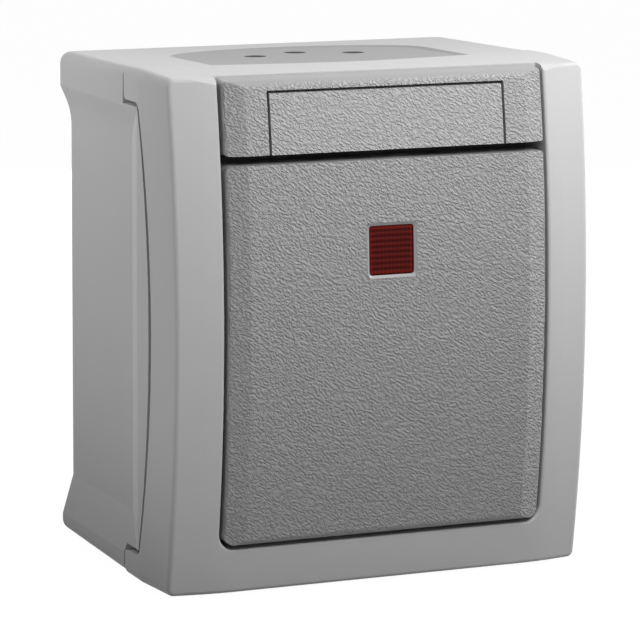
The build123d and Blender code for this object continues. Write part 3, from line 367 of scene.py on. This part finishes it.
# A Mix node keeps its two colours on inputs 6 and 7 and the mixed one on output 2.
mix = make(rolled, "ShaderNodeMix", {"data_type": "RGBA"}, Factor=patch)
feed(rolled, mix.inputs[6], given["Bright"])
feed(rolled, mix.inputs[7], given["Tarnish"])
hand_out(rolled, Colour=mix.outputs[2],
         Roughness=calc(rolled, "MULTIPLY_ADD", patch, tarnish_dull, given["Roughness"]),
         Height=lines.outputs["Fac"])

# %% [markdown]
# ## Three metals from one group
# Only the colours and the gloss differ between the metals: grey and dull for zinc, yellow for brass, and pale
# and bright for the silver tips. The terminal screws and the lamp's leads are tinned, so they look like the
# tips.

# %% Metals
steel = finish_from("zinc-plated steel", rolled, 0.000006,
                    {"Bright": (0.62, 0.63, 0.64, 1), "Tarnish": (0.48, 0.48, 0.47, 1), "Roughness": 0.30},
                    Metallic=1.0)
brass = finish_from("contact brass", rolled, 0.000006,
                    {"Bright": (0.78, 0.56, 0.22, 1), "Tarnish": (0.52, 0.34, 0.13, 1), "Roughness": 0.26},
                    Metallic=1.0)
silver = finish_from("contact silver", rolled, 0.000003,
                     {"Bright": (0.80, 0.80, 0.78, 1), "Tarnish": (0.55, 0.53, 0.48, 1), "Roughness": 0.22},
                     Metallic=1.0)
dress(steel, "mounting_plate", "insert_screw_left", "insert_screw_right", "frame_screw_left",
      "frame_screw_right", "plunger")
corners = ("right_upper", "right_lower", "left_upper", "left_lower")
dress(brass, "moving_contact", "common_contact", "fixed_contact_upper", "fixed_contact_lower",
      *["terminal_" + c for c in corners])
dress(silver, "moving_tip_upper", "moving_tip_lower", "lamp_lead_left", "lamp_lead_right",
      *["terminal_screw_" + c for c in corners])

# %% [markdown]
# ## Tools for fine details
# A few details are too fine for the solids: the soft ribs of the lens, the smooth rim round it, the lip of the
# cable membrane and the thin skins in its pips. Each is drawn in millimetres in a flat plane of its own, with
# its height above that plane as third number, and then set into the switch by a matrix. Most of them are rows
# of points, all equally long, with faces between one row and the next. The last row joins the first in a ring,
# or both ends get a cap.

# %% Detail helpers
def plane_at(middle, tilt):
    """Matrix from a flat drawing in millimetres to the switch, tilted about the X axis."""
    tilted = Matrix.Rotation(math.radians(tilt), 4, "X")
    return Matrix.Translation(Vector(middle) * mm) @ tilted @ Matrix.Scale(mm, 4)


def on_circle(radius, step, steps):
    """Point number step of a circle that is cut into equal steps."""
    angle = 2 * math.pi * step / steps
    return radius * math.cos(angle), radius * math.sin(angle)


def rounded_outline(half_wide, half_high, radius):
    """Points of a rectangle with round corners."""
    steps = 8
    outline = []
    for corner, (side, level) in enumerate(((1, 1), (-1, 1), (-1, -1), (1, -1))):
        for step in range(steps + 1):
            x, y = on_circle(radius, corner * steps + step, 4 * steps)
            outline.append((side * (half_wide - radius) + x, level * (half_high - radius) + y))
    return outline


def faces_between(rows, count, ring):
    """Quads between rows of closed outlines; the ends are joined in a ring or capped."""
    faces = []
    for row in range(rows if ring else rows - 1):
        low, high = row * count, (row + 1) % rows * count
        for step in range(count):
            after = (step + 1) % count
            faces.append((low + step, low + after, high + after, high + step))
    if not ring:
        faces += [tuple(range(count)), tuple(range((rows - 1) * count, rows * count))]
    return faces


sharp_angle = math.radians(40)


def add_piece(name, place, points, faces, material, body):
    """A new piece from points and faces, with its material, riding on a body."""
    mesh = bpy.data.meshes.new(name)
    mesh.from_pydata([place @ Vector(p) for p in points], [], faces)
    shell = bmesh.new()
    shell.from_mesh(mesh)
    bmesh.ops.recalc_face_normals(shell, faces=shell.faces)
    shell.to_mesh(mesh)
    shell.free()
    mesh.shade_smooth()
    mesh.set_sharp_from_angle(angle=sharp_angle)
    mesh.materials.append(material)
    piece = bpy.data.objects.new(name, mesh)
    bpy.context.scene.collection.objects.link(piece)
    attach(piece, body)
    print(name, "faces:", len(mesh.polygons), "on", body)
    return piece


print("detail helpers ready")

# %% [markdown]
# ## Plunger spring
# The solid spring is stiff, so it would run into the end of its bore when the plunger is pushed in. This coil
# has the same box and is worked out in metres. It rides on the plunger.

# %% Plunger spring
low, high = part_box("plunger_spring")
middle = (low + high) / 2
length = high.y - low.y
wire = 0.24 * mm
coil_radius = (high.x - low.x) / 2 - wire
coil_turns, steps_per_turn, wire_sides = 5, 24, 8
coil_steps = coil_turns * steps_per_turn
points = []
for step in range(coil_steps + 1):
    along = low.y + wire + (length - 2 * wire) * step / coil_steps
    for side in range(wire_sides):
        out, rise = on_circle(wire, side, wire_sides)
        x, z = on_circle(coil_radius + out, step, steps_per_turn)
        points.append((middle.x + x, along + rise, middle.z + z))
faces = faces_between(coil_steps + 1, wire_sides, False)
coil = add_piece("plunger_coil", Matrix.Identity(4), points, faces, steel, "plunger")
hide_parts("plunger_spring")
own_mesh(coil)

# %% [markdown]
# ## Red plastic
# The lens is clear red plastic in front of a lamp that is off, so it looks nearly black-red. The edge zone,
# which is flat, stays redder. Two waves run across the colour: one follows the ribs on the front and is painted
# shade and highlight, darker in the valleys and paler on the crests; a weaker one follows the upright ribs on
# the back, which show through. At the very edge, except at the top, the colour is darkened as painted shade for
# the lens's own dark side wall seen through it. From here on, sizes are in millimetres, and the two zones are
# shares of the way from the middle of the lens to its edge.

# %% Red plastic
lens_middle = (0, -50.181, 11.874)
lens_tilt = 90 - 3.075
half_lens = (3.53, 3.58)
rib_pitch, back_pitch = 0.79, 0.62
deep_red = (0.088, 0.0075, 0.0055)
# The front ribs' colour levels are painted shade in the valleys and painted highlight on the crests.
rib_shade_levels, back_levels = (0.62, 1.20), (0.86, 1.10)
edge_zone, edge_levels = (0.76, 0.90), (1.0, 1.45)
# Painted shade at the left, right and bottom edges of the lens, for its dark side wall seen through it.
shaded_edge_zone, painted_edge_shade_levels = (0.92, 0.985), (1.0, 0.2)

red = bpy.data.materials.new("red lens")
red.use_nodes = True
tree = red.node_tree
shader = tree.nodes["Principled BSDF"]
shader.inputs["Roughness"].default_value = 0.40
shader.inputs["Specular IOR Level"].default_value = 0.06
spot = make(tree, "ShaderNodeSeparateXYZ", Vector=make(tree, "ShaderNodeTexCoord").outputs["Object"]).outputs


def wave(axis, middle_mm, pitch_mm, levels):
    """Brightness that swings between two levels along one axis."""
    start = -2 * math.pi * middle_mm / pitch_mm
    phase = calc(tree, "MULTIPLY_ADD", spot[axis], 2 * math.pi / (pitch_mm * mm), start)
    return remap(tree, calc(tree, "COSINE", phase), (-1, 1), levels)


def share_of(axis, middle_mm, half_mm):
    """-1 at the lower or left edge of the lens, 0 in its middle and 1 at the other edge."""
    return calc(tree, "DIVIDE", calc(tree, "SUBTRACT", spot[axis], middle_mm * mm), half_mm * mm)


sideways = calc(tree, "ABSOLUTE", share_of("X", lens_middle[0], half_lens[0]))
upwards = share_of("Z", lens_middle[2], half_lens[1])
to_any_edge = calc(tree, "MAXIMUM", sideways, calc(tree, "ABSOLUTE", upwards))
# Distance to the edges that get painted shade: left, right and bottom.
to_shaded_edge = calc(tree, "MAXIMUM", sideways, calc(tree, "MULTIPLY", upwards, -1))
redder = remap(tree, to_any_edge, edge_zone, edge_levels, "SMOOTHSTEP")
painted_edge_shade = remap(tree, to_shaded_edge, shaded_edge_zone, painted_edge_shade_levels, "SMOOTHSTEP")
# Painted shade and highlight that follow the front ribs.
painted_rib_shade = wave("Z", lens_middle[2], rib_pitch, rib_shade_levels)
back_ribs = wave("X", lens_middle[0], back_pitch, back_levels)
# The redder edge zone of the plastic times the painted edge shade.
edges = calc(tree, "MULTIPLY", redder, painted_edge_shade)
strength = calc(tree, "MULTIPLY", edges, calc(tree, "MULTIPLY", painted_rib_shade, back_ribs))
tree.links.new(scaled(tree, deep_red, strength), shader.inputs["Base Color"])
print(red.name, "nodes:", len(tree.nodes))

# %% [markdown]
# ## Ribbed lens
# The lens is a block with round corners. Its front is a fine grid of points that rises and falls in nine ribs
# and is flat at the edge; grid points that would lie outside a round corner are pulled in to it. The grid's
# border is carried backwards through the rocker's wall and out to a flange that stops behind it.

# %% Ribbed lens
columns, rows = 36, 90
half_wide, half_high = half_lens
corner = 0.5
lens_front, rib_height = -0.42, 0.04
flat_edge, rib_fade = 0.30, 0.25
flange, flange_front, flange_back = 1.0, -2.55, -3.55

points = []
for j in range(rows + 1):
    for i in range(columns + 1):
        x, y = half_wide * (2 * i / columns - 1), half_high * (2 * j / rows - 1)
        over = Vector((max(0, abs(x) - half_wide + corner), max(0, abs(y) - half_high + corner)))
        if over.length > corner:
            over = over * (corner / over.length)
            x = math.copysign(half_wide - corner + over.x, x)
            y = math.copysign(half_high - corner + over.y, y)
        edge_gap = min(half_wide - abs(x), half_high - abs(y))
        fade = min(1, max(0, (edge_gap - flat_edge) / rib_fade))
        points.append((x, y, lens_front + rib_height * fade * math.cos(2 * math.pi * y / rib_pitch)))
across = columns + 1
faces = [(j * across + i, j * across + i + 1, (j + 1) * across + i + 1, (j + 1) * across + i)
         for j in range(rows) for i in range(columns)]

border = (list(range(columns)) + [j * across + columns for j in range(rows)]
          + [rows * across + i for i in range(columns, 0, -1)] + [j * across for j in range(rows, 0, -1)])
count = len(border)
last = border
for reach, depth in ((0, flange_front), (flange, flange_front), (flange, flange_back)):
    wider, higher = (half_wide + reach) / half_wide, (half_high + reach) / half_high
    ring = list(range(len(points), len(points) + count))
    points += [(points[b][0] * wider, points[b][1] * higher, depth) for b in border]
    faces += [(last[k], last[(k + 1) % count], ring[(k + 1) % count], ring[k]) for k in range(count)]
    last = ring
faces.append(tuple(last))
in_lens = plane_at(lens_middle, lens_tilt)
ribbed = add_piece("ribbed_lens", in_lens, points, faces, red, "rocker")
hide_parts("lens")

# %% [markdown]
# ## Lens rim
# Round the lens the rocker has a smooth sloping rim without grain, which catches the light from above. It is a
# ring of four outlines with round corners: outer edge, inner edge, and the same two at the back.

# %% Lens rim
rim_grey = finish_from("lens rim grey", skin, 0.000004,
                       {"Colour": grey(0.40), "Pits per metre": 4000.0, "Drift": 0.03, "Roughness": 0.35})
rim_wide, rim_high, rim_corner = 3.52, 3.57, 0.45
section = ((0.42, 0.008), (0.0, -0.30), (0.0, -0.345), (0.03, -0.345))
points = []
for out, depth in section:
    points += [(x, y, depth) for x, y in rounded_outline(rim_wide + out, rim_high + out, rim_corner + out)]
faces = faces_between(len(section), len(points) // len(section), True)
add_piece("lens_rim", in_lens, points, faces, rim_grey, "rocker")

# %% [markdown]
# ## Membrane lip
# The rubber membrane ends in a lip that presses against the housing and closes the joint. It is a thin wedge
# that runs along the two sides and the half ellipse at the rear. Its section is given as distance from the
# membrane's outline and height.

# %% Membrane lip
top_middle, top_tilt = (0, -40.0, 37.5), -1.0742
on_top = plane_at(top_middle, top_tilt)
half_wide, shoulder, bulge = 20.6, 23.1, 9.5
sink = 0.25
section = ((0.02, -0.03), (0.90, -sink + 0.002), (0.90, -sink - 0.02), (0.02, -sink - 0.02))
side_share, front_gap, samples = 0.25, 0.05, 120
side_band = (half_wide - 0.2) * mm
side_points = [v.co.y for v in solids["cable_membrane"].data.vertices if abs(v.co.x) > side_band]
front_end = min(side_points) / mm - top_middle[1]


def lip_place(share, inset):
    """Point of the membrane's outline, from the front right over the rear to the front left."""
    from_front = min(share, 1 - share)
    if from_front < side_share:
        side = 1 if share < 0.5 else -1
        run = (shoulder - front_end) * from_front / side_share
        return side * (half_wide - inset), front_end + front_gap + run
    angle = math.pi * (share - side_share) / (1 - 2 * side_share)
    return (half_wide - inset) * math.cos(angle), shoulder + (bulge - inset) * math.sin(angle)


points = [(*lip_place(s / samples, inset), depth) for s in range(samples + 1) for inset, depth in section]
faces = faces_between(samples + 1, len(section), False)
add_piece("membrane_lip", on_top, points, faces, membrane_grey, "housing")

# %% [markdown]
# ## Pip skins in painted shade
# In the three pips the rubber is only a thin skin, which is pushed through for a cable. Each skin is a round
# dish, drawn as rings from the outside to the middle, and coloured near black as painted shade for the hollow
# of the pip.

# %% Pip skins
# Near black: painted shade for the hollow of each pip, not the rubber's own grey.
pip_shade_grey = finish_from("pip skin painted shade", skin, 0.000010,
                        {"Colour": grey(0.08), "Pits per metre": rubber_pits, "Drift": 0.05, "Roughness": 0.8},
                        Specular_IOR_Level=0.05)
dish = ((1.66, -sink - 0.20), (1.66, -sink - 0.03), (1.30, -sink - 0.02), (0.90, -sink - 0.07),
        (0.45, -sink - 0.04), (0.05, -sink - 0.02))
dish_steps = 40
faces = faces_between(len(dish), dish_steps, False)
for name, across, back in (("left", -8.0, 21.4), ("middle", 0.0, 25.0), ("right", 8.0, 21.4)):
    points = []
    for radius, depth in dish:
        circle = [on_circle(radius, step, dish_steps) for step in range(dish_steps)]
        points += [(across + x, back + y, depth) for x, y in circle]
    add_piece("pip_shade_skin_" + name, on_top, points, faces, pip_shade_grey, "housing")

# %% [markdown]
# ## Lamp glass
# The glow lamp is a thin glass bulb, so its shader lets light through. A soft noise smears its gloss.

# %% Lamp glass
glass = bpy.data.materials.new("lamp glass")
glass.use_nodes = True
tree = glass.node_tree
shader = tree.nodes["Principled BSDF"]
shader.inputs["Base Color"].default_value = (0.95, 0.88, 0.82, 1)
shader.inputs["Transmission Weight"].default_value = 1.0
shader.inputs["IOR"].default_value = 1.47
where = make(tree, "ShaderNodeTexCoord").outputs["Object"]
smears_per_metre, clear_to_smeared = 400.0, (0.02, 0.12)
smear = make(tree, "ShaderNodeTexNoise", Vector=where, Scale=smears_per_metre, Detail=2.0)
tree.links.new(remap(tree, smear.outputs["Fac"], (0, 1), clear_to_smeared), shader.inputs["Roughness"])
dress(glass, "glow_lamp")

# %% [markdown]
# ## Floor and background
# The switch stands on a white floor in front of white. Both look white wherever they are seen, by the camera,
# in a reflection or through glass, and both give the switch much less light than that. The floor glows by
# itself where it is seen and adds only a little of the lamps' light, so it stays white and still keeps a soft
# shadow.

# %% Floor and background
def by_sight(tree, otherwise, seen, end):
    """Shows one shader where it is seen and uses the other one for light."""
    path = make(tree, "ShaderNodeLightPath").outputs
    direct = calc(tree, "MAXIMUM", path["Is Camera Ray"], path["Is Glossy Ray"])
    pick = make(tree, "ShaderNodeMixShader", Fac=calc(tree, "MAXIMUM", direct, path["Is Transmission Ray"]))
    feed(tree, pick.inputs[1], otherwise)
    feed(tree, pick.inputs[2], seen)
    tree.links.new(pick.outputs["Shader"], tree.nodes[end].inputs["Surface"])


floor_gap, floor_size = 0.0002, 6
floor_z = cad_box[0][2] - floor_gap
bpy.ops.mesh.primitive_plane_add(size=floor_size, location=(0, 0, floor_z))
floor = bpy.context.object
floor.name = "floor"
white = bpy.data.materials.new("white floor")
white.use_nodes = True
tree = white.node_tree
tree.nodes.remove(tree.nodes["Principled BSDF"])
pale = make(tree, "ShaderNodeBsdfDiffuse", Color=grey(0.30))
faint = make(tree, "ShaderNodeBsdfDiffuse", Color=grey(0.06))
glow = make(tree, "ShaderNodeEmission", Color=grey(1.0), Strength=0.98)
both = make(tree, "ShaderNodeAddShader")
feed(tree, both.inputs[0], faint.outputs["BSDF"])
feed(tree, both.inputs[1], glow.outputs["Emission"])
by_sight(tree, pale.outputs["BSDF"], both.outputs["Shader"], "Material Output")
floor.data.materials.append(white)

world = bpy.data.worlds.new("white room")
bpy.context.scene.world = world
world.use_nodes = True
tree = world.node_tree
room = make(tree, "ShaderNodeBackground", Color=grey(1.0), Strength=0.10)
wall = make(tree, "ShaderNodeBackground", Color=grey(1.0), Strength=1.0)
by_sight(tree, room.outputs["Background"], wall.outputs["Background"], "World Output")
print("floor at", round(floor_z, 4), "world:", world.name)

# %% [markdown]
# ## Light
# Small soft boxes stand close to the switch, so the top is brightest and every side grows darker downwards, as
# light does near its lamp. A long strip in front lights the front, a strong box at the upper right makes
# the right brighter than the left, and a weak one stands at the upper left. Two small cards lie on the table at
# the left and throw light up at the left side: that is why the ramp above the foot, which looks upwards, is
# darker than the wall above it. One more box behind lights the back for other views; it stands lower than the
# switch's top, so the top can't mirror it. The boxes themselves stay out of the picture. Lamps are in metres
# and watts: place, what it faces, width, height and power.

# %% Lamps
def soft_box(name, place, target, wide, high, watts):
    """A rectangular lamp that faces its target and isn't seen itself."""
    lamp = bpy.data.lights.new(name, "AREA")
    lamp.shape = "RECTANGLE"
    lamp.size = wide
    lamp.size_y = high
    lamp.energy = watts
    lamp_object = bpy.data.objects.new(name, lamp)
    bpy.context.scene.collection.objects.link(lamp_object)
    lamp_object.location = place
    lamp_object.rotation_mode = "QUATERNION"
    lamp_object.rotation_quaternion = (Vector(target) - Vector(place)).to_track_quat("-Z", "X")
    lamp_object.visible_camera = False
    print("lamp", name, "at", place, "watts", watts)


middle = (0, -0.025, 0)
soft_box("strip in front", (0.024, -0.15, 0.11), middle, 0.05, 0.13, 0.180)
soft_box("upper right", (0.28, -0.06, 0.20), middle, 0.08, 0.08, 0.7085)
soft_box("upper left", (-0.09, 0.0, 0.08), middle, 0.06, 0.06, 0.0306)
soft_box("front card", (-0.10, -0.06, -0.036), (-0.10, -0.0599, 1), 0.05, 0.05, 0.016)
soft_box("near card", (-0.10, 0.04, -0.036), (-0.10, 0.0401, 1), 0.05, 0.05, 0.0233)
soft_box("behind", (0.10, 0.40, 0.0), middle, 0.06, 0.06, 0.8)

# %% [markdown]
# ## End
# The scene shows its colours through the Standard view.

# %% End
scene = bpy.context.scene
scene.view_settings.view_transform = "Standard"
